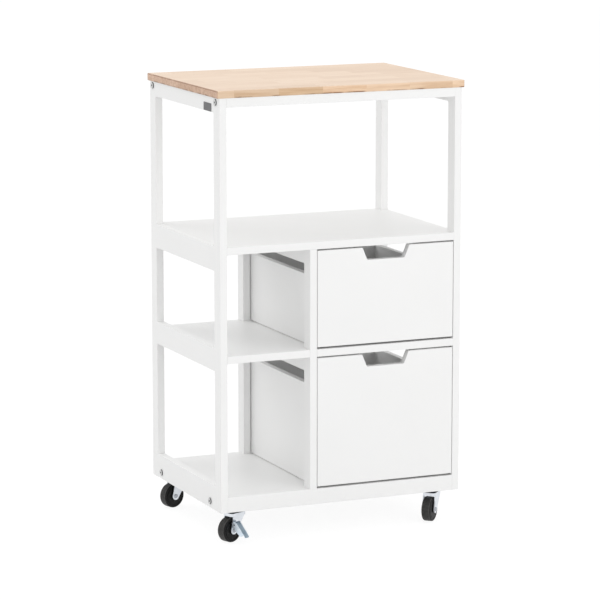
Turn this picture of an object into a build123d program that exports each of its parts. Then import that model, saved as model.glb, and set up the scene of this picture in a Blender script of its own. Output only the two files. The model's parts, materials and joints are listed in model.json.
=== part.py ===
"""Kitchen island cart: a white frame, rubberwood worktop, three shelves, two drawers and four casters.

Millimetres. The origin is on the floor under the middle of the cart, +Z is up, the drawers face -Y.
"""

import os
from math import cos, radians, sin

from build123d import *

os.makedirs("parts", exist_ok=True)

# Overall sizes
frame_width = 520.0
frame_depth = 374.0
cart_height = 900.0
caster_height = 66.0

# Worktop board and how far it stands past the frame
worktop_thickness = 15.0
worktop_side_overhang = 5.0
worktop_front_overhang = 2.0
worktop_edge_round = 2.0

# Side frames: legs and the four rails between each pair
side_board = 15.0
leg_depth = 30.0
edge_ease = 0.8
top_side_rail_height = 30.0
upper_rail_height = 49.0
middle_rail_height = 46.0
base_rail_height = 49.0
middle_rail_lip = 13.0
tenon_length = 5.0
tenon_thickness = 6.0
tenon_shoulder = 4.0
tenon_fit = 0.1

# Shelves, with their heights above the floor measured to the top face
shelf_board = 15.0
upper_shelf_height = 594.0
middle_shelf_height = 379.0
shelf_back_setback = 6.5

# Boards under the worktop
top_rail_board = 18.0
front_top_rail_depth = 40.0
back_top_rail_depth = 30.0

# Base: a front rail, and a thin floor on two battens that carry the casters
base_front_rail_height = 31.0
base_front_board = 15.0
floor_board = 9.0
batten_width = 84.0

# Divider between the open bay and the drawers
divider_left = -69.0
divider_board = 15.0
post_depth = 30.0
divider_rail_height = 31.0
notch_fit = 0.2

# Drawers
drawer_front_board = 15.0
drawer_side_board = 12.0
drawer_back_board = 12.0
drawer_bottom_board = 4.0
drawer_back_gap = 12.5
drawer_side_gap = 2.5
front_side_gap = 1.2
front_foot_gap = 4.0
front_head_gap = 3.0
upper_drawer_side_height = 140.0
lower_drawer_side_height = 201.0
front_edge_round = 1.0
groove_depth = 5.0
groove_height = 8.0
groove_fit = 0.25
grip_top_width = 102.0
grip_foot_width = 81.0
grip_depth = 25.0
grip_round = 3.0
glide_thickness = 2.0
glide_width = 8.0
glide_end_setback = 10.0

# Fasteners
bolt_diameter = 6.0
bolt_clearance = 0.1
bolt_head_diameter = 13.0
bolt_head_thickness = 2.0
bolt_socket = 4.0
bolt_socket_depth = 1.5
bolt_tip = 8.0
base_bolt_height = 13.5
nut_diameter = 10.0
nut_length = 14.0
nut_inset = 28.0
dowel_diameter = 8.0
dowel_fit = 0.05
dowel_seat = 10.0
shelf_dowel_spread = 220.0
screw_diameter = 4.0
screw_head_diameter = 8.0
screw_head_thickness = 2.0
screw_head_angle = 90.0
screw_fit = 0.05
worktop_screw_grip = 10.0
worktop_screw_spread = 360.0
caster_screw_grip = 9.0
caster_screw_spread = 30.0

# Casters: top plate, swivel and fork
swivel_inset = 43.0
front_swivel_setback = 35.0
back_swivel_setback = 26.0
plate_size = 42.0
plate_sheet = 2.0
plate_corner = 5.0
race_depth = 3.7
race_diameter = 26.0
race_flare = 30.0
swivel_clearance = 0.3
running_clearance = 0.05
kingpin_diameter = 8.0
kingpin_head_diameter = 13.0
kingpin_head_thickness = 2.0
fork_sheet = 2.0
fork_gap = 23.0
crown_length = 40.0
crown_height = 7.5
crown_corner = 6.0
crown_edge_round = 1.5
trail = 14.0
fork_end_radius = 8.0

# Casters: wheel and axle
wheel_diameter = 50.0
wheel_width = 19.0
tread_round = 3.0
hub_diameter = 14.0
groove_outer_diameter = 40.0
groove_inner_diameter = 37.0
wheel_groove_depth = 0.8
axle_diameter = 6.0
axle_head_diameter = 9.0
axle_head_thickness = 1.2
axle_head_round = 0.8

# Brake lever at the outer fork leg
brake_pivot_reach = 6.8
brake_pivot_rise = 13.0
brake_slope = -45.0
brake_length = 36.0
brake_width = 14.0
brake_tip_width = 11.0
brake_sheet = 1.5
brake_ear_radius = 6.5
brake_ear_reach = 24.0
brake_ear_end_radius = 5.0
brake_tip_round = 3.0
brake_pin_diameter = 3.0
brake_clearance = 0.3
knuckle_radius = 3.0
knuckle_length = 2.5
nose_width = 4.4
nose_height = 3.0
nose_drop = 2.0
window_margin = 0.6
window_rise = 2.0
window_fall = 8.4

# The turn of each caster's axle from the X axis, and the casters that have a brake
caster_headings = {"front_left": -68.0, "front_right": -45.0, "back_left": -73.0, "back_right": 70.0}
braked_casters = ("front_left", "back_right")
side_names = {-1: "left", 1: "right"}
end_names = {-1: "front", 1: "back"}


def span(a, b):
    """Two planes in rising order."""
    return min(a, b), max(a, b)


def middle(pair):
    """The plane half way between two planes."""
    return (pair[0] + pair[1]) / 2


# Planes that the pieces share
outer_x = frame_width / 2
inner_x = outer_x - side_board
front_y = -frame_depth / 2
back_y = frame_depth / 2
leg_inner_y = back_y - leg_depth
shelf_back_y = back_y - shelf_back_setback
base_z = caster_height
floor_z = base_z + base_front_rail_height
frame_top_z = cart_height - worktop_thickness
top_rail_z = frame_top_z - top_rail_board
divider_right = divider_left + divider_board
upper_shelf_foot = upper_shelf_height - shelf_board
middle_shelf_foot = middle_shelf_height - shelf_board
batten_top_z = floor_z - floor_board
middle_rail_top = middle_shelf_height + middle_rail_lip
rail_levels = {
    "top": (frame_top_z - top_side_rail_height, frame_top_z),
    "upper": (upper_shelf_height - upper_rail_height, upper_shelf_height),
    "middle": (middle_rail_top - middle_rail_height, middle_rail_top),
    "base": (base_z, base_z + base_rail_height),
}

# Bolt positions: one through the top of each leg, one through each base rail into each batten
bolt_hole_radius = bolt_diameter / 2 + bolt_clearance
top_bolt_z = top_rail_z + top_rail_board / 2
base_bolt_z = base_z + base_bolt_height
top_bolt_y = {-1: front_y + front_top_rail_depth / 2, 1: back_y - back_top_rail_depth / 2}
batten_y = {
    -1: (front_y + base_front_board, front_y + base_front_board + batten_width),
    1: (shelf_back_y - batten_width, shelf_back_y),
}
base_bolt_y = {-1: middle(batten_y[-1]), 1: middle(batten_y[1])}
bolt_length = side_board + nut_inset + bolt_tip

# The tenons of the top rails stop below the bolts that cross the legs
tenon_levels = {}
for level, (low, high) in rail_levels.items():
    tenon_levels[level] = (low + tenon_shoulder, high - tenon_shoulder)
tenon_levels["top"] = (tenon_levels["top"][0], top_bolt_z - bolt_hole_radius - tenon_shoulder)


def across_middle(pair, width):
    """Two planes a width apart, astride the middle of another pair."""
    return middle(pair) - width / 2, middle(pair) + width / 2


def block(x, y, z, mode=Mode.ADD):
    """A squared block between three pairs of planes."""
    with Locations((middle(x), middle(y), middle(z))):
        Box(x[1] - x[0], y[1] - y[0], z[1] - z[0], mode=mode)


def ease(edges):
    """Take the sharpness off the long edges of a board."""
    fillet(edges, edge_ease)


def drill(point, outward, radius, depth):
    """A blind hole from a point on a face, sunk against the outward direction."""
    with Locations(Plane(point, z_dir=outward)):
        Hole(radius, depth)


def keep(builder, name):
    """Label a finished piece and write it to its own file."""
    builder.part.label = name
    export_step(builder.part, f"parts/{name}.step")


# Worktop: one edge-glued board, drilled from below for its screws
worktop_x = (-outer_x - worktop_side_overhang, outer_x + worktop_side_overhang)
worktop_y = (front_y - worktop_front_overhang, back_y + worktop_front_overhang)
worktop_screw_x = (-worktop_screw_spread / 2, 0.0, worktop_screw_spread / 2)
worktop_screw_points = [(x, top_bolt_y[end]) for end in (-1, 1) for x in worktop_screw_x]
with BuildPart() as worktop:
    block(worktop_x, worktop_y, (frame_top_z, cart_height))
    fillet(worktop.edges().filter_by(Axis.Z), worktop_edge_round)
    fillet(worktop.faces().sort_by(Axis.Z)[-1].edges(), worktop_edge_round)
    fillet(worktop.faces().sort_by(Axis.Z)[0].edges(), worktop_edge_round)
    for x, y in worktop_screw_points:
        drill((x, y, frame_top_z), (0, 0, -1), screw_diameter / 2 + screw_fit, worktop_screw_grip)
keep(worktop, "worktop")

# Legs: mortised for four rails on the inner edge, with a bolt hole through the top
for side in (-1, 1):
    leg_x = span(side * inner_x, side * outer_x)
    mortise_x = across_middle(leg_x, tenon_thickness + 2 * tenon_fit)
    for end in (-1, 1):
        leg_y = span(end * leg_inner_y, end * back_y)
        mortise_y = span(end * leg_inner_y, end * (leg_inner_y + tenon_length + tenon_fit))
        with BuildPart() as leg:
            block(leg_x, leg_y, (base_z, frame_top_z))
            ease(leg.edges().filter_by(Axis.Z).filter_by_position(Axis.Y, end * back_y, end * back_y))
            for low, high in tenon_levels.values():
                block(mortise_x, mortise_y, (low - tenon_fit, high + tenon_fit), Mode.SUBTRACT)
            drill((side * outer_x, top_bolt_y[end], top_bolt_z), (side, 0, 0), bolt_hole_radius, side_board)
        keep(leg, f"leg_{end_names[end]}_{side_names[side]}")

# Side rails: flush with the legs, with a stub tenon at each end
dowel_radius = dowel_diameter / 2
dowel_hole_radius = dowel_radius + dowel_fit
shelf_dowel_y = (-shelf_dowel_spread / 2, shelf_dowel_spread / 2)
shelf_dowel_z = {
    "upper": upper_shelf_height - shelf_board / 2,
    "middle": middle_shelf_height - shelf_board / 2,
}
for side in (-1, 1):
    rail_x = span(side * inner_x, side * outer_x)
    tenon_x = across_middle(rail_x, tenon_thickness)
    for level, rail_z in rail_levels.items():
        with BuildPart() as rail:
            block(rail_x, (-leg_inner_y, leg_inner_y), rail_z)
            ease(rail.edges().filter_by(Axis.Y))
            for end in (-1, 1):
                tenon_y = span(end * leg_inner_y, end * (leg_inner_y + tenon_length))
                block(tenon_x, tenon_y, tenon_levels[level])
            if level in shelf_dowel_z:
                for y in shelf_dowel_y:
                    dowel_point = (side * inner_x, y, shelf_dowel_z[level])
                    drill(dowel_point, (-side, 0, 0), dowel_hole_radius, dowel_seat)
            if level == "base":
                for y in base_bolt_y.values():
                    drill((side * outer_x, y, base_bolt_z), (side, 0, 0), bolt_hole_radius, side_board)
        keep(rail, f"{level}_rail_{side_names[side]}")

# Boards under the worktop, held between the legs by bolts and barrel nuts
nut_hole_radius = nut_diameter / 2 + dowel_fit
nut_x = inner_x - nut_inset
bolt_hole_depth = nut_inset + bolt_tip + bolt_clearance
top_rail_depths = {
    -1: (front_y, front_y + front_top_rail_depth),
    1: (back_y - back_top_rail_depth, back_y),
}
for end in (-1, 1):
    with BuildPart() as top_rail:
        block((-inner_x, inner_x), top_rail_depths[end], (top_rail_z, frame_top_z))
        ease(top_rail.edges().filter_by(Axis.X).group_by(Axis.Z)[0])
        for side in (-1, 1):
            bolt_point = (side * inner_x, top_bolt_y[end], top_bolt_z)
            drill(bolt_point, (side, 0, 0), bolt_hole_radius, bolt_hole_depth)
            nut_point = (side * nut_x, top_bolt_y[end], top_rail_z)
            drill(nut_point, (0, 0, -1), nut_hole_radius, top_bolt_z + nut_length / 2 - top_rail_z)
        for x in worktop_screw_x:
            with Locations(Plane((x, top_bolt_y[end], top_rail_z), z_dir=(0, 0, -1))):
                CounterSinkHole(
                    screw_diameter / 2 + screw_fit,
                    screw_head_diameter / 2 + screw_fit,
                    counter_sink_angle=screw_head_angle,
                )
    keep(top_rail, f"top_rail_{end_names[end]}")

# Divider posts stand on the base and reach up to the upper shelf
divider_x = (divider_left, divider_right)
post_inner_y = back_y - post_depth
back_dowel_y = middle((post_inner_y, shelf_back_y))
foot_dowel_y = {-1: front_y + base_front_board / 2, 1: back_dowel_y}
head_dowel_y = {-1: front_y + post_depth / 2, 1: back_dowel_y}
divider_rail_z = {
    "upper": (upper_shelf_foot - divider_rail_height, upper_shelf_foot),
    "lower": (middle_shelf_foot - divider_rail_height, middle_shelf_foot),
}
divider_tenon_z = {}
for level, (low, high) in divider_rail_z.items():
    divider_tenon_z[level] = (low + tenon_shoulder, high - tenon_shoulder)
divider_middle = middle(divider_x)
divider_tenon_x = across_middle(divider_x, tenon_thickness)
divider_mortise_x = across_middle(divider_x, tenon_thickness + 2 * tenon_fit)
for end in (-1, 1):
    with BuildPart() as post:
        block(divider_x, span(end * post_inner_y, end * back_y), (floor_z, upper_shelf_foot))
        ease(post.edges().filter_by(Axis.Z))
        for low, high in divider_tenon_z.values():
            mortise_y = span(end * post_inner_y, end * (post_inner_y + tenon_length + tenon_fit))
            block(divider_mortise_x, mortise_y, (low - tenon_fit, high + tenon_fit), Mode.SUBTRACT)
        head_point = (divider_middle, head_dowel_y[end], upper_shelf_foot)
        drill(head_point, (0, 0, 1), dowel_hole_radius, dowel_seat)
        foot_point = (divider_middle, foot_dowel_y[end], floor_z)
        drill(foot_point, (0, 0, -1), dowel_hole_radius, dowel_seat)
    keep(post, f"divider_post_{end_names[end]}")

# Divider rails join the posts just under the upper and the middle shelf
for level, rail_z in divider_rail_z.items():
    with BuildPart() as divider_rail:
        block(divider_x, (-post_inner_y, post_inner_y), rail_z)
        ease(divider_rail.edges().filter_by(Axis.Y).group_by(Axis.Z)[0])
        for end in (-1, 1):
            tenon_y = span(end * post_inner_y, end * (post_inner_y + tenon_length))
            block(divider_tenon_x, tenon_y, divider_tenon_z[level])
    keep(divider_rail, f"divider_rail_{level}")

# Shelves: dowelled between the side rails
shelf_x = (-inner_x, inner_x)
with BuildPart() as upper_shelf:
    block(shelf_x, (front_y, shelf_back_y), (upper_shelf_foot, upper_shelf_height))
    ease(upper_shelf.edges().filter_by(Axis.X))
    for side in (-1, 1):
        for y in shelf_dowel_y:
            dowel_point = (side * inner_x, y, shelf_dowel_z["upper"])
            drill(dowel_point, (side, 0, 0), dowel_hole_radius, dowel_seat)
    for y in head_dowel_y.values():
        drill((divider_middle, y, upper_shelf_foot), (0, 0, -1), dowel_hole_radius, dowel_seat)
keep(upper_shelf, "upper_shelf")

# The middle shelf is notched round the divider posts
notch_x = (divider_left - notch_fit, divider_right + notch_fit)
notch_y = {
    -1: (front_y, -post_inner_y + notch_fit),
    1: (post_inner_y - notch_fit, shelf_back_y),
}
with BuildPart() as middle_shelf:
    block(shelf_x, (front_y, shelf_back_y), (middle_shelf_foot, middle_shelf_height))
    ease(middle_shelf.edges().filter_by(Axis.X))
    for end in (-1, 1):
        block(notch_x, notch_y[end], (middle_shelf_foot, middle_shelf_height), Mode.SUBTRACT)
    for side in (-1, 1):
        for y in shelf_dowel_y:
            dowel_point = (side * inner_x, y, shelf_dowel_z["middle"])
            drill(dowel_point, (side, 0, 0), dowel_hole_radius, dowel_seat)
keep(middle_shelf, "middle_shelf")

# Base: front rail, thin floor, and the battens that the casters are screwed to
with BuildPart() as base_front_rail:
    block(shelf_x, (front_y, front_y + base_front_board), (base_z, floor_z))
    ease(base_front_rail.edges().filter_by(Axis.X).group_by(Axis.Y)[0])
    drill((divider_middle, foot_dowel_y[-1], floor_z), (0, 0, 1), dowel_hole_radius, dowel_seat)
keep(base_front_rail, "base_rail_front")

with BuildPart() as bottom_shelf:
    block(shelf_x, (front_y + base_front_board, shelf_back_y), (batten_top_z, floor_z))
    drill((divider_middle, foot_dowel_y[1], floor_z), (0, 0, 1), dowel_hole_radius, floor_board)
keep(bottom_shelf, "bottom_shelf")

swivel_x = outer_x - swivel_inset
swivel_y = {-1: front_y + front_swivel_setback, 1: back_y - back_swivel_setback}
caster_screw_offsets = (-caster_screw_spread / 2, caster_screw_spread / 2)
for end in (-1, 1):
    with BuildPart() as batten:
        block(shelf_x, batten_y[end], (base_z, batten_top_z))
        for side in (-1, 1):
            bolt_point = (side * inner_x, base_bolt_y[end], base_bolt_z)
            drill(bolt_point, (side, 0, 0), bolt_hole_radius, bolt_hole_depth)
            nut_point = (side * nut_x, base_bolt_y[end], base_z)
            drill(nut_point, (0, 0, -1), nut_hole_radius, base_bolt_z + nut_length / 2 - base_z)
            for dx in caster_screw_offsets:
                for dy in caster_screw_offsets:
                    screw_point = (side * swivel_x + dx, swivel_y[end] + dy, base_z)
                    drill(screw_point, (0, 0, -1), screw_diameter / 2 + screw_fit, caster_screw_grip)
        if end == 1:
            foot_point = (divider_middle, foot_dowel_y[end], batten_top_z)
            drill(foot_point, (0, 0, 1), dowel_hole_radius, dowel_seat - floor_board)
    keep(batten, f"caster_batten_{end_names[end]}")

# Furniture bolts: flat round heads with a hexagon socket, through the sides into barrel nuts
bolt_points = []
for side in (-1, 1):
    for end in (-1, 1):
        bolt_points.append((side, top_bolt_y[end], top_bolt_z))
        bolt_points.append((side, base_bolt_y[end], base_bolt_z))
with BuildPart() as furniture_bolts:
    for side, y, z in bolt_points:
        face = Plane((side * outer_x, y, z), z_dir=(side, 0, 0))
        with BuildSketch(face):
            Circle(bolt_diameter / 2)
        extrude(amount=-bolt_length)
        with BuildSketch(face):
            Circle(bolt_head_diameter / 2)
        extrude(amount=bolt_head_thickness)
        with BuildSketch(face.offset(bolt_head_thickness)):
            RegularPolygon(bolt_socket / 2, 6, major_radius=False)
        extrude(amount=-bolt_socket_depth, mode=Mode.SUBTRACT)
keep(furniture_bolts, "furniture_bolts")

with BuildPart() as barrel_nuts:
    for side, y, z in bolt_points:
        with BuildSketch(Plane.XY.offset(z - nut_length / 2)):
            with Locations((side * nut_x, y)):
                Circle(nut_diameter / 2)
        extrude(amount=nut_length)
        with Locations(Plane((side * (nut_x + nut_diameter), y, z), z_dir=(side, 0, 0))):
            Hole(bolt_hole_radius, 2 * nut_diameter)
keep(barrel_nuts, "barrel_nuts")

# Dowels: two at each end of the upper and middle shelves, and one at each end of each divider post
with BuildPart() as dowels:
    for z in shelf_dowel_z.values():
        for side in (-1, 1):
            for y in shelf_dowel_y:
                with BuildSketch(Plane((side * inner_x, y, z), z_dir=(side, 0, 0))):
                    Circle(dowel_radius)
                extrude(amount=dowel_seat, both=True)
    for end in (-1, 1):
        with BuildSketch(Plane((divider_middle, head_dowel_y[end], upper_shelf_foot))):
            Circle(dowel_radius)
        extrude(amount=dowel_seat, both=True)
        with BuildSketch(Plane((divider_middle, foot_dowel_y[end], floor_z))):
            Circle(dowel_radius)
        extrude(amount=dowel_seat, both=True)
keep(dowels, "dowels")

# Worktop screws: countersunk, up through the boards under the worktop
with BuildPart() as worktop_screws:
    for x, y in worktop_screw_points:
        with BuildSketch(Plane((x, y, top_rail_z), x_dir=(1, 0, 0), z_dir=(0, -1, 0))):
            with BuildLine():
                Polyline(
                    (0, 0),
                    (screw_head_diameter / 2, 0),
                    (screw_diameter / 2, (screw_head_diameter - screw_diameter) / 2),
                    (screw_diameter / 2, top_rail_board + worktop_screw_grip),
                    (0, top_rail_board + worktop_screw_grip),
                    close=True,
                )
            make_face()
        revolve(axis=Axis((x, y, 0), (0, 0, 1)))
keep(worktop_screws, "worktop_screws")


def make_drawer(drawer, seat_z, opening_top_z, side_height):
    """Front, sides, back, grooved bottom and glides of one drawer that rests on a shelf."""
    box_x = (divider_right + drawer_side_gap, inner_x - drawer_side_gap)
    inside_x = (box_x[0] + drawer_side_board, box_x[1] - drawer_side_board)
    box_y = (front_y + drawer_front_board, shelf_back_y - drawer_back_gap)
    inside_back_y = box_y[1] - drawer_back_board
    side_z = (seat_z + glide_thickness, seat_z + glide_thickness + side_height)
    groove_z = (side_z[0] + groove_height, side_z[0] + groove_height + drawer_bottom_board)
    groove_x = (inside_x[0] - groove_depth, inside_x[1] + groove_depth)
    groove_y = (box_y[0] - groove_depth, inside_back_y + groove_depth)
    front_x = (divider_right + front_side_gap, inner_x - front_side_gap)
    front_z = (seat_z + front_foot_gap, opening_top_z - front_head_gap)
    half_width = (front_x[1] - front_x[0]) / 2
    grip_foot_z = front_z[1] - grip_depth

    # Front: an inset panel with a trapezoid hand cut-out in its top edge
    face = Plane((middle(front_x), box_y[0], 0), x_dir=(1, 0, 0), z_dir=(0, -1, 0))
    with BuildPart() as front:
        with BuildSketch(face) as panel:
            with BuildLine():
                Polyline(
                    (-half_width, front_z[0]),
                    (half_width, front_z[0]),
                    (half_width, front_z[1]),
                    (grip_top_width / 2, front_z[1]),
                    (grip_foot_width / 2, grip_foot_z),
                    (-grip_foot_width / 2, grip_foot_z),
                    (-grip_top_width / 2, front_z[1]),
                    (-half_width, front_z[1]),
                    close=True,
                )
            make_face()
            grip_corners = panel.vertices().group_by(Axis.X)[1:-1]
            fillet([corner for group in grip_corners for corner in group], grip_round)
        extrude(amount=drawer_front_board)
        fillet(front.faces().sort_by(Axis.Y)[0].edges(), front_edge_round)
        block(groove_x, (groove_y[0], box_y[0]), groove_z, Mode.SUBTRACT)
    keep(front, f"{drawer}_drawer_front")

    for side in (-1, 1):
        side_x = (box_x[0], inside_x[0]) if side == -1 else (inside_x[1], box_x[1])
        side_groove_x = (groove_x[0], inside_x[0]) if side == -1 else (inside_x[1], groove_x[1])
        with BuildPart() as wall:
            block(side_x, box_y, side_z)
            ease(wall.edges().filter_by(Axis.Y).group_by(Axis.Z)[-1])
            block(side_groove_x, (box_y[0], groove_y[1]), groove_z, Mode.SUBTRACT)
        keep(wall, f"{drawer}_drawer_side_{side_names[side]}")

    with BuildPart() as back:
        block(inside_x, (inside_back_y, box_y[1]), side_z)
        ease(back.edges().filter_by(Axis.X).group_by(Axis.Z)[-1])
        block(inside_x, (inside_back_y, groove_y[1]), groove_z, Mode.SUBTRACT)
    keep(back, f"{drawer}_drawer_back")

    with BuildPart() as bottom:
        block(
            (groove_x[0] + groove_fit, groove_x[1] - groove_fit),
            (groove_y[0] + groove_fit, groove_y[1] - groove_fit),
            groove_z,
        )
    keep(bottom, f"{drawer}_drawer_bottom")

    # Glides: a slim strip under each side, on which the drawer slides
    with BuildPart() as glides:
        for wall_x in ((box_x[0], inside_x[0]), (inside_x[1], box_x[1])):
            strip_x = across_middle(wall_x, glide_width)
            strip_y = (box_y[0] + glide_end_setback, box_y[1] - glide_end_setback)
            block(strip_x, strip_y, (seat_z, seat_z + glide_thickness))
    keep(glides, f"{drawer}_drawer_glides")


make_drawer("upper", middle_shelf_height, upper_shelf_foot, upper_drawer_side_height)
make_drawer("lower", floor_z, middle_shelf_foot, lower_drawer_side_height)

# Heights inside a caster, from the batten down to the floor
plate_foot_z = base_z - plate_sheet
race_foot_z = plate_foot_z - race_depth
race_floor_z = race_foot_z + plate_sheet
crown_top_z = race_foot_z - swivel_clearance
crown_foot_z = crown_top_z - crown_height
crown_ceiling_z = crown_top_z - fork_sheet
axle_z = wheel_diameter / 2
fork_width = fork_gap + 2 * fork_sheet
leg_outer_n = fork_width / 2
kingpin_radius = kingpin_diameter / 2
axle_radius = axle_diameter / 2

# Top plates: pressed sheet with a dished race in the middle and a screw hole in each corner
swivel_points = {}
for end in (-1, 1):
    for side in (-1, 1):
        swivel_points[f"{end_names[end]}_{side_names[side]}"] = (side * swivel_x, swivel_y[end])
with BuildPart() as caster_plates:
    for x, y in swivel_points.values():
        with BuildSketch(Plane((x, y, plate_foot_z))):
            RectangleRounded(plate_size, plate_size, plate_corner)
        extrude(amount=plate_sheet)
        with BuildSketch(Plane((x, y, plate_foot_z))):
            Circle(race_flare / 2)
        with BuildSketch(Plane((x, y, race_foot_z))):
            Circle(race_diameter / 2)
        loft()
        with BuildSketch(Plane((x, y, base_z))):
            Circle(race_flare / 2 - plate_sheet)
        with BuildSketch(Plane((x, y, race_floor_z))):
            Circle(race_diameter / 2 - plate_sheet)
        loft(mode=Mode.SUBTRACT)
        drill((x, y, race_floor_z), (0, 0, 1), kingpin_radius + running_clearance, plate_sheet)
        for dx in caster_screw_offsets:
            for dy in caster_screw_offsets:
                drill((x + dx, y + dy, base_z), (0, 0, 1), screw_diameter / 2 + screw_fit, plate_sheet)
keep(caster_plates, "caster_plates")

# Caster screws: round heads under the plate, shanks up into the batten
with BuildPart() as caster_screws:
    for x, y in swivel_points.values():
        for dx in caster_screw_offsets:
            for dy in caster_screw_offsets:
                with BuildSketch(Plane((x + dx, y + dy, plate_foot_z))):
                    Circle(screw_diameter / 2)
                extrude(amount=plate_sheet + caster_screw_grip)
                with BuildSketch(Plane((x + dx, y + dy, plate_foot_z))):
                    Circle(screw_head_diameter / 2)
                extrude(amount=-screw_head_thickness)
keep(caster_screws, "caster_screws")

# Kingpins: rivets that hold each fork under its race
kingpin_foot_z = crown_ceiling_z - swivel_clearance
with BuildPart() as kingpins:
    for x, y in swivel_points.values():
        with BuildSketch(Plane((x, y, race_floor_z))):
            Circle(kingpin_head_diameter / 2)
        extrude(amount=kingpin_head_thickness)
        with BuildSketch(Plane((x, y, kingpin_foot_z))):
            Circle(kingpin_radius)
        extrude(amount=race_floor_z - kingpin_foot_z)
        with BuildSketch(Plane((x, y, kingpin_foot_z))):
            Circle(kingpin_head_diameter / 2)
        extrude(amount=-kingpin_head_thickness)
keep(kingpins, "kingpins")

# The brake's pivot, measured across the fork (n), along the fork (t) and up (z)
brake_n = leg_outer_n + brake_pivot_reach
brake_t = -trail
brake_z = axle_z + brake_pivot_rise
ear_outer = brake_width / 2
ear_inner = ear_outer - brake_sheet
knuckle_outer = ear_inner - brake_clearance
nose_tip_n = wheel_width / 2 + brake_clearance


def across(place, n, t, z):
    """A plane of constant n, with its sketch axes along the fork and up."""
    return Plane(place.from_local_coords((n, t, z)), x_dir=place.y_dir, z_dir=place.x_dir)


def along(place, n, t, z):
    """A plane of constant t, with its sketch axes across the fork and up."""
    return Plane(place.from_local_coords((n, t, z)), x_dir=place.x_dir, z_dir=-place.y_dir)


def make_fork(name, place, braked):
    """A pressed fork: a cup-shaped crown with a leg down each side of the wheel."""
    with BuildPart() as fork:
        with BuildSketch(place.offset(crown_foot_z)):
            RectangleRounded(fork_width, crown_length, crown_corner)
        extrude(amount=crown_height)
        fillet(fork.faces().sort_by(Axis.Z)[-1].edges(), crown_edge_round)
        with BuildSketch(place.offset(crown_foot_z)):
            RectangleRounded(fork_gap, crown_length - 2 * fork_sheet, crown_corner - fork_sheet)
        extrude(amount=crown_height - fork_sheet, mode=Mode.SUBTRACT)
        # Each leg narrows from the crown's straight side to a round end at the axle
        for side in (-1, 1):
            with BuildSketch(across(place, side * fork_gap / 2, 0, 0)):
                with Locations((-trail, axle_z)):
                    Circle(fork_end_radius)
                with Locations((0, middle((crown_foot_z, crown_ceiling_z)))):
                    Rectangle(crown_length - 2 * crown_corner, crown_ceiling_z - crown_foot_z)
                make_hull()
            extrude(amount=side * fork_sheet)
        with Locations(across(place, leg_outer_n, -trail, axle_z)):
            Hole(axle_radius + running_clearance, fork_width)
        with Locations(Plane(place.from_local_coords((0, 0, crown_top_z)))):
            Hole(kingpin_radius + running_clearance, fork_sheet)
        if braked:
            # Two knuckles carry the brake pin, and a window lets the lever's nose reach the wheel
            for side in (-1, 1):
                with BuildSketch(along(place, 0, brake_t + side * knuckle_outer, 0)):
                    with Locations((brake_n, brake_z)):
                        Circle(knuckle_radius)
                    with Locations((leg_outer_n - fork_sheet / 2, brake_z)):
                        Rectangle(fork_sheet, 2 * knuckle_radius)
                    make_hull()
                extrude(amount=side * knuckle_length)
            with Locations(along(place, brake_n, brake_t - ear_outer, brake_z)):
                Hole(brake_pin_diameter / 2 + running_clearance, brake_width)
            with BuildSketch(across(place, leg_outer_n, brake_t, brake_z)):
                with Locations((0, (window_rise - window_fall) / 2)):
                    Rectangle(nose_width + 2 * window_margin, window_rise + window_fall)
            extrude(amount=-fork_sheet, mode=Mode.SUBTRACT)
    keep(fork, f"caster_fork_{name}")


def make_axle(name, place):
    """An axle riveted over to a low domed head against each leg."""
    with BuildPart() as axle:
        with BuildSketch(across(place, -leg_outer_n, -trail, axle_z)):
            Circle(axle_radius)
        extrude(amount=fork_width)
        for side in (-1, 1):
            with BuildSketch(across(place, side * leg_outer_n, -trail, axle_z)):
                Circle(axle_head_diameter / 2)
            extrude(amount=side * axle_head_thickness)
            head_axis = Axis(place.origin, place.x_dir * side)
            fillet(axle.faces().sort_by(head_axis)[-1].edges(), axle_head_round)
    keep(axle, f"caster_axle_{name}")


def make_wheel(name, place):
    """A wheel turned from one half-section: hub, disc, a groove inside the tread, rounded tread edges."""
    rim = wheel_width / 2
    hub = fork_gap / 2 - brake_clearance
    bore = axle_radius + running_clearance
    groove_n = rim - wheel_groove_depth
    section_plane = along(place, 0, -trail, axle_z)
    axle_line = Axis(place.from_local_coords((0, -trail, axle_z)), place.x_dir)
    with BuildPart() as wheel:
        with BuildSketch(section_plane) as section:
            with BuildLine():
                Polyline(
                    (0, bore),
                    (hub, bore),
                    (hub, hub_diameter / 2),
                    (rim, hub_diameter / 2),
                    (rim, groove_inner_diameter / 2),
                    (groove_n, groove_inner_diameter / 2),
                    (groove_n, groove_outer_diameter / 2),
                    (rim, groove_outer_diameter / 2),
                    (rim, wheel_diameter / 2),
                    (0, wheel_diameter / 2),
                    close=True,
                )
            make_face()
            tread_edge = section.vertices().group_by(Axis.Y)[-1].sort_by(Axis.X)[-1]
            fillet(tread_edge, tread_round)
            mirror(about=Plane.YZ)
        revolve(axis=axle_line)
    keep(wheel, f"caster_wheel_{name}")


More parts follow.
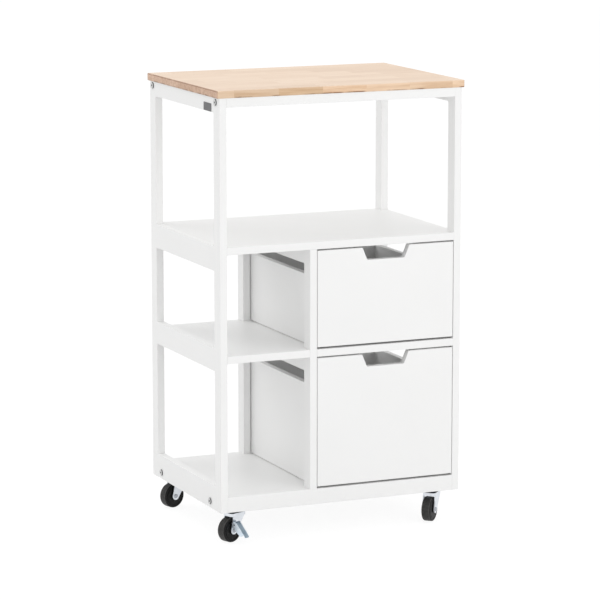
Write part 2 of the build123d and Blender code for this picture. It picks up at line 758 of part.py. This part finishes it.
def make_brake(name, place):
    """A channel-shaped lever on a pin, with a nose that reaches through the fork to the wheel."""
    pivot = place.from_local_coords((brake_n, brake_t, brake_z))
    slope_angle = radians(brake_slope)
    slope_dir = place.x_dir * cos(slope_angle) + place.z_dir * sin(slope_angle)
    slope = Plane(pivot, x_dir=slope_dir, z_dir=-place.y_dir)
    with BuildPart() as lever:
        for side in (-1, 1):
            with BuildSketch(slope.offset(-side * ear_inner)):
                Circle(brake_ear_radius)
                with Locations((brake_ear_reach, brake_ear_radius - brake_ear_end_radius)):
                    Circle(brake_ear_end_radius)
                make_hull()
            extrude(amount=-side * brake_sheet)
        web = Plane(pivot, x_dir=slope.x_dir, z_dir=slope.y_dir).offset(brake_ear_radius)
        with BuildSketch(web) as tongue:
            with BuildLine():
                Polyline(
                    (0, -brake_width / 2),
                    (brake_ear_reach, -brake_width / 2),
                    (brake_length, -brake_tip_width / 2),
                    (brake_length, brake_tip_width / 2),
                    (brake_ear_reach, brake_width / 2),
                    (0, brake_width / 2),
                    close=True,
                )
            make_face()
            fillet(tongue.vertices().group_by(Axis.X)[-1], brake_tip_round)
        extrude(amount=-brake_sheet)
        with BuildSketch(along(place, 0, brake_t - nose_width / 2, 0)):
            with Locations((brake_n, brake_z)):
                Circle(brake_ear_radius - brake_sheet / 2)
            with Locations(((nose_tip_n + brake_n) / 2, brake_z - nose_drop)):
                Rectangle(brake_n - nose_tip_n, nose_height)
        extrude(amount=-nose_width)
        with Locations(slope.offset(ear_outer)):
            Hole(brake_pin_diameter / 2 + running_clearance, brake_width)
    keep(lever, f"brake_lever_{name}")

    with BuildPart() as pin:
        with BuildSketch(slope.offset(-ear_outer)):
            Circle(brake_pin_diameter / 2)
        extrude(amount=brake_width)
    keep(pin, f"brake_pin_{name}")


for name, (x, y) in swivel_points.items():
    place = Plane((x, y, 0)).rotated((0, 0, caster_headings[name]))
    make_fork(name, place, name in braked_casters)
    make_axle(name, place)
    make_wheel(name, place)
    if name in braked_casters:
        make_brake(name, place)
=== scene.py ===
"""Kitchen island cart: finishes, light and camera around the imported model.

Metres, +Z up, and the drawers face -Y.
"""

import json
from math import radians

import bpy
import numpy as np
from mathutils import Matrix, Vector


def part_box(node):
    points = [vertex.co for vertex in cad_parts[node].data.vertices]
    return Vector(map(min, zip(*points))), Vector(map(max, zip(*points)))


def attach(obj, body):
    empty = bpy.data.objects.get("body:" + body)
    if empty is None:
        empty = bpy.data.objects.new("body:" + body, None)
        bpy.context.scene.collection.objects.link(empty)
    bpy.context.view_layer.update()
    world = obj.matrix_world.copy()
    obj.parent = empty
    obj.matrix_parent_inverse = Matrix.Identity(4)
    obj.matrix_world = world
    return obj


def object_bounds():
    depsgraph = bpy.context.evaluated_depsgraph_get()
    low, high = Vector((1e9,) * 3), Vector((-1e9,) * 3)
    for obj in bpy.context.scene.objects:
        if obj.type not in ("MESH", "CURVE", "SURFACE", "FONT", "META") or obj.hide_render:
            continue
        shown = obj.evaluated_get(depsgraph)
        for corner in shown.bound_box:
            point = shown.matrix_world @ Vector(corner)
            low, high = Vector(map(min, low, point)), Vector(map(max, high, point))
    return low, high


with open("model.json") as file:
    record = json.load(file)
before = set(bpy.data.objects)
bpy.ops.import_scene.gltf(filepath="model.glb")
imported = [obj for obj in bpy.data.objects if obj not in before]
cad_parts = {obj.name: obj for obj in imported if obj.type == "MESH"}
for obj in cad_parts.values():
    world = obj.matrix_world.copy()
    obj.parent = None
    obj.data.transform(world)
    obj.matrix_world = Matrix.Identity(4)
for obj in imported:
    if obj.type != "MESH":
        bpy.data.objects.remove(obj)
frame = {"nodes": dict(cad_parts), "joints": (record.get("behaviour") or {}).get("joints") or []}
cad_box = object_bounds()

# Side frames, boards under the worktop and base: planed board, tenoned and bolted, sprayed white.
# The satin lacquer has a faint orange-peel skin, and its white and gloss drift over each board.

mm = 0.001


def add(tree, kind, inputs=None, **settings):
    """One shader node: settings are its own properties, inputs are values or other nodes' outputs."""
    made = tree.nodes.new(kind)
    for key, value in settings.items():
        setattr(made, key, value)
    for socket, value in (inputs or {}).items():
        if isinstance(value, bpy.types.NodeSocket):
            tree.links.new(value, made.inputs[socket])
        else:
            made.inputs[socket].default_value = value
    return made


def new_finish(name):
    """An empty material with its surface shader, and the object coordinates that its patterns read."""
    finish = bpy.data.materials.new(name)
    finish.use_nodes = True
    tree = finish.node_tree
    shader = tree.nodes["Principled BSDF"]
    place = add(tree, "ShaderNodeTexCoord").outputs["Object"]
    return finish, tree, shader, place


def coat(tree, shader, colour, rough, relief=None):
    """Colour, roughness and any relief led into the surface shader."""
    tree.links.new(colour, shader.inputs["Base Color"])
    tree.links.new(rough, shader.inputs["Roughness"])
    if relief:
        tree.links.new(relief, shader.inputs["Normal"])


def ramp(tree, factor, stops):
    """A colour ramp from a list of positions and colours."""
    made = add(tree, "ShaderNodeValToRGB", {"Fac": factor})
    points = made.color_ramp.elements
    while len(points) < len(stops):
        points.new(1.0)
    for point, (position, colour) in zip(points, stops):
        point.position = position
        point.color = (*colour, 1.0)
    return made.outputs["Color"]


def spread(tree, factor, low, high):
    """A pattern that runs from 0 to 1, moved to run from low to high."""
    inputs = {"Value": factor, "To Min": low, "To Max": high}
    return add(tree, "ShaderNodeMapRange", inputs).outputs["Result"]


def noise(tree, place, scale, detail=3.0):
    """Soft cloudy noise, with about scale features to a metre."""
    inputs = {"Vector": place, "Scale": scale, "Detail": detail}
    return add(tree, "ShaderNodeTexNoise", inputs).outputs["Fac"]


def bump(tree, height, depth, strength):
    """A surface relief of the given depth."""
    inputs = {"Height": height, "Distance": depth, "Strength": strength}
    return add(tree, "ShaderNodeBump", inputs).outputs["Normal"]


def dress(finish, *names):
    """Put one finish on CAD nodes."""
    for name in names:
        mesh = frame["nodes"][name].data
        mesh.materials.clear()
        mesh.materials.append(finish)


def white_lacquer(name, full_coat):
    """Sprayed satin white: a slow drift of tone, uneven gloss and an orange-peel relief."""
    finish, tree, shader, place = new_finish(name)
    thin_coat = [tone * 0.985 for tone in full_coat]
    colour = ramp(tree, noise(tree, place, 6.0), [(0.3, thin_coat), (0.7, full_coat)])
    gloss = spread(tree, noise(tree, place, 45.0), 0.34, 0.46)
    orange_peel = bump(tree, noise(tree, place, 700.0, 1.0), 0.04 * mm, 0.25)
    coat(tree, shader, colour, gloss, orange_peel)
    return finish


sides = ("left", "right")
ends = ("front", "back")
levels = ("top", "upper", "middle", "base")
board_white = white_lacquer("white_lacquer", (0.92, 0.92, 0.915))
dress(board_white, *[f"leg_{end}_{side}" for end in ends for side in sides])
dress(board_white, *[f"{level}_rail_{side}" for level in levels for side in sides])
dress(board_white, "top_rail_front", "top_rail_back", "base_rail_front")
dress(board_white, "caster_batten_front", "caster_batten_back")

# Shelves: the same lacquered board, dowelled between the side rails.
# The middle one is notched round the divider's posts.

dress(board_white, "upper_shelf", "middle_shelf", "bottom_shelf")

# Divider: two posts and two rails in the same lacquered board, between the open bay and the drawers.
# The posts stand on dowels, and the rails are let into them.

dress(board_white, "divider_post_front", "divider_post_back")
dress(board_white, "divider_rail_upper", "divider_rail_lower")

# Worktop: rubberwood staves of mixed tone, finger-jointed end to end and glued edge to edge.
# It is planed, eased at the edges and oiled on top, with short dark pores along the grain and a
# pale sealed underside.


def layer(tree, factor, ground, tint, how="MULTIPLY"):
    """One colour laid over another, as a glaze unless told otherwise, as strongly as the factor says."""
    inputs = {"Factor": factor, 6: ground, 7: tint}
    return add(tree, "ShaderNodeMix", inputs, data_type="RGBA", blend_type=how).outputs[2]


def step(tree, value, start, stop):
    """0 before start and 1 after stop, or the other way round if stop comes first."""
    inputs = {"Value": value, "From Min": start, "From Max": stop}
    return add(tree, "ShaderNodeMapRange", inputs).outputs["Result"]


def both(tree, one, other):
    """The overlap of two masks."""
    return add(tree, "ShaderNodeMath", {0: one, 1: other}, operation="MULTIPLY").outputs[0]


stave_length, stave_width, glue_line = 130 * mm, 42 * mm, 0.12 * mm
first_stave = (20.6348, -22.112, 0.0)
edge_tones = [
    (0.0, (0.70, 0.485, 0.30)), (0.3, (0.73, 0.535, 0.37)), (0.52, (0.80, 0.61, 0.44)),
    (0.62, (0.845, 0.605, 0.415)), (0.8, (0.86, 0.635, 0.45)), (1.0, (0.87, 0.645, 0.455)),
]
# The top's paler, flatter tones are a painted sheen over the same staves.
sheen_top_tones = [(0.0, (0.79, 0.60, 0.445)), (0.5, (0.845, 0.655, 0.495)), (1.0, (0.875, 0.69, 0.53))]
end_tones = [(0.0, (0.74, 0.53, 0.38)), (1.0, (0.86, 0.655, 0.50))]
figure_tones = [(0.3, (0.92, 0.89, 0.86)), (0.7, (1.0, 1.0, 1.0))]
pore_tones = [(0.26, (0.84, 0.77, 0.70)), (0.36, (1.0, 1.0, 1.0))]
mottle_tones = [(0.40, (0.91, 0.86, 0.80)), (0.56, (1.02, 1.02, 1.02))]
speckle_tones = [(0.35, (0.68, 0.58, 0.53)), (0.6, (0.89, 0.84, 0.83))]
end_arris_brown = (0.62, 0.53, 0.47, 1)
# A painted shade colour for the worktop's lower arris.
painted_shade_brown = (0.36, 0.26, 0.20, 1)
sealed_underside = (0.82, 0.80, 0.77, 1)


def rubberwood(low, high):
    """Staves from a brick pattern, each with its own tone and run of grain along X.

    Low and high are the corners of the board. The top takes paler, flatter tones than the edges as a
    painted sheen, so only the edges are mottled; the ends are speckled, the ends' upper arris is dark in
    places, and the board's lower arris carries a painted shade in places.
    """
    finish, tree, shader, place = new_finish("rubberwood")
    laid = add(tree, "ShaderNodeMapping", {"Vector": place, "Location": first_stave}).outputs["Vector"]
    staves = add(tree, "ShaderNodeTexBrick", {
        "Vector": laid, "Color1": (0, 0, 0, 1), "Color2": (1, 1, 1, 1), "Mortar": (0.4, 0.4, 0.4, 1),
        "Scale": 1.0, "Mortar Size": glue_line, "Mortar Smooth": 0.2, "Bias": 0.0,
        "Brick Width": stave_length, "Row Height": stave_width,
    }, offset=0.37, offset_frequency=2, squash=0.72, squash_frequency=3)
    tone = staves.outputs["Color"]
    own_place = add(tree, "ShaderNodeVectorMath", {0: place, 1: tone}, operation="ADD").outputs["Vector"]
    along_grain = {"Vector": own_place, "Scale": (1.0, 14.0, 14.0)}
    stretched = add(tree, "ShaderNodeMapping", along_grain).outputs["Vector"]
    grain = noise(tree, stretched, 14.0, 5.0)
    streaks = noise(tree, stretched, 42.0, 2.0)

    axes = add(tree, "ShaderNodeSeparateXYZ", {"Vector": place}).outputs
    reach = add(tree, "ShaderNodeMath", {0: axes["X"]}, operation="ABSOLUTE").outputs[0]
    rise = axes["Z"]
    end_face = step(tree, reach, high.x - 2.0 * mm, high.x - 0.5 * mm)
    top_face = step(tree, rise, high.z - 1.2 * mm, high.z - 0.6 * mm)
    under_face = step(tree, rise, low.z + 0.3 * mm, low.z + 0.1 * mm)
    end_arris = both(tree, end_face, step(tree, rise, high.z - 3.0 * mm, high.z - 2.0 * mm))
    low_arris = step(tree, rise, low.z + 3.0 * mm, low.z + 1.8 * mm)
    # Noise patches that break up the dark marks on the arrises.
    arris_patches = noise(tree, place, 34.0, 5.0)
    low_shade_patches, end_arris_patches = step(tree, arris_patches, 0.44, 0.62), step(tree, arris_patches, 0.32, 0.48)

    board = layer(tree, end_face, ramp(tree, tone, edge_tones), ramp(tree, tone, end_tones), "MIX")
    # The top takes its own paler tones: a painted sheen.
    board = layer(tree, top_face, board, ramp(tree, tone, sheen_top_tones), "MIX")
    board = layer(tree, 0.8, board, ramp(tree, grain, figure_tones))
    board = layer(tree, 0.5, board, ramp(tree, streaks, pore_tones))
    mottle = ramp(tree, noise(tree, stretched, 7.0, 6.0), mottle_tones)
    # The mottle stays off the top, whose flatter look is part of the painted sheen.
    board = layer(tree, top_face, layer(tree, 1.0, board, mottle), board, "MIX")
    board = layer(tree, end_face, board, ramp(tree, noise(tree, place, 900.0, 2.0), speckle_tones))
    board = layer(tree, both(tree, end_arris, end_arris_patches), board, end_arris_brown)
    # A painted shade along the board's lower arris, in patches.
    board = layer(tree, both(tree, low_arris, low_shade_patches), board, painted_shade_brown)
    board = layer(tree, under_face, board, sealed_underside, "MIX")
    coat(tree, shader, board, spread(tree, grain, 0.50, 0.38), bump(tree, streaks, 0.1 * mm, 0.2))
    return finish


dress(rubberwood(*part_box("worktop")), "worktop")

# Drawers: lacquered fronts with a hand cut-out, and a box of lacquered board round a thin bottom.
# The bottoms sit in grooves, and each box slides on two slim strips of moulded plastic.


def moulded(name, full_tone, rough):
    """Moulded plastic: a fine matt grain with a slow drift of tone."""
    finish, tree, shader, place = new_finish(name)
    deep_tone = [tone * 0.86 for tone in full_tone]
    colour = ramp(tree, noise(tree, place, 60.0), [(0.3, deep_tone), (0.7, full_tone)])
    grain = noise(tree, place, 1800.0, 1.0)
    gloss = spread(tree, grain, rough - 0.06, rough + 0.06)
    coat(tree, shader, colour, gloss, bump(tree, grain, 0.05 * mm, 0.3))
    return finish


drawer_boards = ("front", "side_left", "side_right", "back", "bottom")
glide = moulded("glide_plastic", (0.72, 0.72, 0.70), 0.45)
for drawer in ("upper", "lower"):
    dress(board_white, *[f"{drawer}_drawer_{board}" for board in drawer_boards])
    dress(glide, f"{drawer}_drawer_glides")

# Fixings: beech dowels, zinc barrel nuts and screws, and nickel-plated bolts with painted shade in their
# sockets.
# The bolts go through the side frames into the nuts, and the screws hold the worktop from below.

# The near black of painted shade in recesses and gaps.
shade_black = (0.06, 0.06, 0.06, 1)


def plated(name, dark, bright, rough, black=None):
    """Plated steel: cloudy bright metal with a fine grain left by rolling.

    Black, if given, is an axis and two distances from the middle: the metal is bright at the first
    distance and painted almost black at the second, as painted shade in recesses and gaps.
    """
    finish, tree, shader, place = new_finish(name)
    shader.inputs["Metallic"].default_value = 1.0
    metal = ramp(tree, noise(tree, place, 90.0), [(0.3, dark), (0.7, bright)])
    if black:
        axis, start, stop = black
        distance = add(tree, "ShaderNodeSeparateXYZ", {"Vector": place}).outputs[axis]
        away = add(tree, "ShaderNodeMath", {0: distance}, operation="ABSOLUTE").outputs[0]
        metal = layer(tree, step(tree, away, start, stop), metal, shade_black)
    spangle = noise(tree, place, 400.0, 2.0)
    gloss = spread(tree, spangle, rough - 0.08, rough + 0.08)
    coat(tree, shader, metal, gloss, bump(tree, spangle, 0.03 * mm, 0.2))
    return finish


def beech(name):
    """Fluted beech rod: pinkish, with short flecks along the grain."""
    finish, tree, shader, place = new_finish(name)
    flecks = noise(tree, place, 500.0)
    colour = ramp(tree, flecks, [(0.35, (0.50, 0.32, 0.19)), (0.6, (0.68, 0.47, 0.30))])
    coat(tree, shader, colour, spread(tree, flecks, 0.55, 0.7))
    return finish


dress(beech("beech_dowel"), "dowels")
zinc_tones = (0.72, 0.76, 0.82), (0.86, 0.89, 0.94)
zinc = plated("zinc_sheet", *zinc_tones, 0.34)
dress(zinc, "barrel_nuts", "worktop_screws")
bolt_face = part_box("furniture_bolts")[1].x
# The bolt metal deeper than the head's face, in the sockets, is painted near black as shade.
painted_socket_shade = ("X", bolt_face - 0.1 * mm, bolt_face - 0.3 * mm)
bolt_nickel = plated("bolt_nickel", (0.50, 0.50, 0.50), (0.68, 0.68, 0.67), 0.30, painted_socket_shade)
dress(bolt_nickel, "furniture_bolts")

# Plate: a small blank plate on the left top rail, near the front leg.
# It is moulded in dark grey plastic with softly rounded edges and glued on.


def plate_skin(width, height, thickness, corner, soft):
    """A flat pad: each ring is a rounded rectangle, drawn in as it rises by a quarter round at the rim."""
    around, rim_rings = 40, 6
    turn = np.linspace(0, 2 * np.pi, around, endpoint=False) + np.pi / (2 * around)
    lean = np.stack([np.cos(turn), np.sin(turn)], axis=1)
    rise = np.linspace(0, np.pi / 2, rim_rings)
    inset = np.concatenate([[0.0], soft * (1 - np.cos(rise))])
    level = np.concatenate([[0.0], thickness - soft + soft * np.sin(rise)])
    middles = np.sign(lean) * (np.array([width, height]) / 2 - corner)
    rings = middles[None] + lean[None] * (corner - inset)[:, None, None]
    return rings, level


plate_width, plate_height, plate_thickness = 39 * mm, 16.2 * mm, 0.8 * mm
plate_corner, plate_soft_edge = 1.4 * mm, 0.4 * mm
plate_middle_y, plate_middle_z = -127 * mm, 863.8 * mm
plate_face_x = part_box("top_rail_left")[0].x
rings, level = plate_skin(plate_width, plate_height, plate_thickness, plate_corner, plate_soft_edge)
ring_count, ring_length = rings.shape[:2]
plate_points = np.stack([
    np.broadcast_to(plate_face_x - level[:, None], rings.shape[:2]),
    plate_middle_y - rings[:, :, 0],
    plate_middle_z + rings[:, :, 1],
], axis=2).reshape(-1, 3)
index = np.arange(ring_count * ring_length).reshape(ring_count, ring_length)
after = np.roll(index, -1, axis=1)
rim_faces = np.stack([index[:-1], after[:-1], after[1:], index[1:]], axis=2).reshape(-1, 4)
flat_faces = [index[-1].tolist(), index[0, ::-1].tolist()]
plate_mesh = bpy.data.meshes.new("blank_plate")
plate_mesh.from_pydata(plate_points.tolist(), [], rim_faces.tolist() + flat_faces)
plate_mesh.materials.append(moulded("plate_grey", (0.11, 0.11, 0.115), 0.38))
plate = bpy.data.objects.new("blank_plate", plate_mesh)
bpy.context.scene.collection.objects.link(plate)
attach(plate, "frame")

# Casters: pressed zinc plates and forks riveted at the swivel, with moulded wheels on steel axles.
# The swivels' race and the fork's crown top are painted near black as shade in the gap between plate and
# fork, and two of the casters carry a pressed brake lever on a black pin.


def distance_along(tree, place, middle, direction):
    """How far a point lies from the middle, to either side, measured along a direction."""
    inputs = {0: place, 1: middle}
    offset = add(tree, "ShaderNodeVectorMath", inputs, operation="SUBTRACT").outputs["Vector"]
    inputs = {0: offset, 1: direction}
    along = add(tree, "ShaderNodeVectorMath", inputs, operation="DOT_PRODUCT").outputs["Value"]
    return add(tree, "ShaderNodeMath", {0: along}, operation="ABSOLUTE").outputs[0]


def wheel_rubber(name, hub, axle, half_width):
    """Black sides, a grey tread with scuffs and a paler arris that is a painted highlight, told apart by
    the distance along the axle.
    """
    finish, tree, shader, place = new_finish(name)
    shader.inputs["Specular IOR Level"].default_value = 0.22
    # The arris tone is a painted highlight on the rounded edge between tread and side.
    tread, arris, side = (0.050, 0.049, 0.048), (0.085, 0.083, 0.081), (0.006, 0.006, 0.006)
    away = step(tree, distance_along(tree, place, hub, axle), 0.0, half_width)
    zones = ramp(tree, away, [(0.66, tread), (0.75, arris), (0.82, arris), (0.91, side)])
    scuff_tones = [(0.35, (0.66, 0.66, 0.66)), (0.65, (1.0, 1.0, 1.0))]
    rubber = layer(tree, 1.0, zones, ramp(tree, noise(tree, place, 220.0), scuff_tones))
    grain = noise(tree, place, 1800.0, 1.0)
    coat(tree, shader, rubber, spread(tree, grain, 0.40, 0.52), bump(tree, grain, 0.05 * mm, 0.3))
    return finish


def pressed_lever(name, pin, across, ear):
    """A zinc channel: a painted shade on the web, and a painted highlight on the ears from the given
    distance along its pin.
    """
    finish, tree, shader, place = new_finish(name)
    shader.inputs["Metallic"].default_value = 1.0
    clouds = noise(tree, place, 90.0)
    # The web's darker zinc is painted shade, and the ears' brighter zinc is a painted highlight on the
    # same sheet.
    shaded_web_tone = ramp(tree, clouds, [(0.3, (0.27, 0.35, 0.42)), (0.7, (0.40, 0.49, 0.57))])
    lit_ear_tone = ramp(tree, clouds, [(0.3, (0.72, 0.82, 0.92)), (0.7, (0.86, 0.93, 0.98))])
    lit_ears = step(tree, distance_along(tree, place, pin, across), ear - 0.3 * mm, ear + 0.1 * mm)
    metal = layer(tree, lit_ears, shaded_web_tone, lit_ear_tone, "MIX")
    spangle = noise(tree, place, 400.0, 2.0)
    coat(tree, shader, metal, spread(tree, spangle, 0.38, 0.54), bump(tree, spangle, 0.03 * mm, 0.2))
    return finish


corners = [f"{end}_{side}" for end in ends for side in sides]
braked = [corner for corner in corners if f"brake_lever_{corner}" in frame["nodes"]]
hinges = {joint["child"]: joint for joint in frame["joints"]}
dress(zinc, "caster_screws", "kingpins")
race_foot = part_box("caster_plates")[0].z
# The race under the plate is painted near black: painted shade in the swivel gap.
painted_race_shade = ("Z", race_foot + 4.0 * mm, race_foot + 3.6 * mm)
dress(plated("plate_painted_shade", *zinc_tones, 0.34, painted_race_shade), "caster_plates")
crown_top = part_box("caster_fork_front_left")[1].z
# The top of the fork's crown is painted near black: painted shade under the plate.
painted_crown_shade = ("Z", crown_top - 1.6 * mm, crown_top - 1.0 * mm)
fork_zinc = plated("fork_painted_shade", (0.68, 0.71, 0.75), (0.82, 0.85, 0.89), 0.34, painted_crown_shade)
dress(fork_zinc, *[f"caster_fork_{corner}" for corner in corners])
steel = plated("bright_steel", (0.32, 0.34, 0.37), (0.46, 0.48, 0.52), 0.32)
dress(steel, *[f"caster_axle_{corner}" for corner in corners])
wheel_half_width = 9.5 * mm
for corner in corners:
    roll = hinges[f"wheel_{corner}"]
    rubber = wheel_rubber(f"wheel_rubber_{corner}", roll["pos_m"], roll["axis"], wheel_half_width)
    dress(rubber, f"caster_wheel_{corner}")
ear_inside = 5.5 * mm
for corner in braked:
    lift = hinges[f"brake_{corner}"]
    lever_zinc = pressed_lever(f"lever_zinc_{corner}", lift["pos_m"], lift["axis"], ear_inside)
    dress(lever_zinc, f"brake_lever_{corner}")
black_pin = plated("black_pin", (0.04, 0.04, 0.045), (0.08, 0.08, 0.09), 0.40)
dress(black_pin, *[f"brake_pin_{corner}" for corner in braked])

# Floor: a plain pale sheet that runs on past the picture.
# It looks white to the camera, and still takes the cart's soft shadow.

floor_reach = 14.0
floor_mesh = bpy.data.meshes.new("floor")
floor_corners = np.array([(-1, -1, 0), (1, -1, 0), (1, 1, 0), (-1, 1, 0)]) * floor_reach
floor_mesh.from_pydata(floor_corners.tolist(), [], [(0, 1, 2, 3)])
floor = bpy.data.objects.new("floor", floor_mesh)
bpy.context.scene.collection.objects.link(floor)


def seen_directly(tree):
    """1 for rays from the camera, in a reflection or through glass, and 0 for all other light."""
    path = add(tree, "ShaderNodeLightPath").outputs
    inputs = {0: path["Is Camera Ray"], 1: path["Is Glossy Ray"]}
    shown = add(tree, "ShaderNodeMath", inputs, operation="MAXIMUM").outputs[0]
    inputs = {0: shown, 1: path["Is Transmission Ray"]}
    return add(tree, "ShaderNodeMath", inputs, operation="MAXIMUM").outputs[0]


def shown_or_lit(tree, lit, shown):
    """One shader where a thing is seen directly, and another for the light that it gives back."""
    inputs = {0: seen_directly(tree), 1: lit.outputs[0], 2: shown.outputs[0]}
    return add(tree, "ShaderNodeMixShader", inputs).outputs[0]


floor_finish = bpy.data.materials.new("floor_white")
floor_finish.use_nodes = True
floor_tree = floor_finish.node_tree
floor_tree.nodes.remove(floor_tree.nodes["Principled BSDF"])
pale_floor = add(floor_tree, "ShaderNodeBsdfDiffuse", {"Color": (0.8, 0.8, 0.8, 1)})
faint_floor = add(floor_tree, "ShaderNodeBsdfDiffuse", {"Color": (0.16, 0.16, 0.16, 1)})
white_glow = add(floor_tree, "ShaderNodeEmission", {"Color": (1, 1, 1, 1), "Strength": 0.9})
shadow_and_glow = {0: faint_floor.outputs[0], 1: white_glow.outputs[0]}
shown_floor = add(floor_tree, "ShaderNodeAddShader", shadow_and_glow)
floor_surface = floor_tree.nodes["Material Output"].inputs["Surface"]
floor_tree.links.new(shown_or_lit(floor_tree, pale_floor, shown_floor), floor_surface)
floor_mesh.materials.append(floor_finish)

# Light: a white room, a broad lamp from the front right, and weaker ones from the left, the back left
# and above. The room is plain white where it is seen or reflected.

world = bpy.data.worlds.new("studio")
bpy.context.scene.world = world
world.use_nodes = True
room_tree = world.node_tree
room_light = room_tree.nodes["Background"]
room_light.inputs["Color"].default_value = (1, 1, 1, 1)
room_light.inputs["Strength"].default_value = 0.8
room_white = add(room_tree, "ShaderNodeBackground", {"Color": (1, 1, 1, 1), "Strength": 1.0})
room_surface = room_tree.nodes["World Output"].inputs["Surface"]
room_tree.links.new(shown_or_lit(room_tree, room_light, room_white), room_surface)
cart_middle = (cad_box[0] + cad_box[1]) / 2


def lamp(name, place, size, power):
    """A square area lamp that faces the middle of the cart and leaves no mirror patch on it."""
    light = bpy.data.lights.new(name, "AREA")
    light.size = size
    light.energy = power
    made = bpy.data.objects.new(name, light)
    made.location = place
    made.rotation_euler = (cart_middle - Vector(place)).to_track_quat("-Z", "Y").to_euler()
    made.visible_glossy = False
    bpy.context.scene.collection.objects.link(made)


lamp("key_lamp", place=(1.8, -4.6, 2.0), size=3.0, power=57.0)
lamp("left_lamp", place=(-4.6, -1.2, 1.8), size=3.0, power=8.0)
lamp("back_lamp", place=(-2.2, 3.4, 3.2), size=2.6, power=40.0)
lamp("top_lamp", place=(0.2, 0.0, 3.6), size=2.0, power=8.0)

# Camera: a long lens, a little above the worktop, to the left of the drawers.
# It is tipped down and turned to the right, both in degrees, to put the cart in the middle.

camera_tip, camera_turn = 10.023, 23.523
camera_data = bpy.data.cameras.new("camera")
camera_data.sensor_width = 36.0
camera_data.lens = 186.29
camera = bpy.data.objects.new("camera", camera_data)
camera.location = (-2.4868, -5.6914, 1.5419)
camera.rotation_euler = (radians(90 - camera_tip), 0, radians(-camera_turn))
bpy.context.scene.collection.objects.link(camera)
bpy.context.scene.camera = camera
bpy.context.scene.view_settings.view_transform = "Standard"
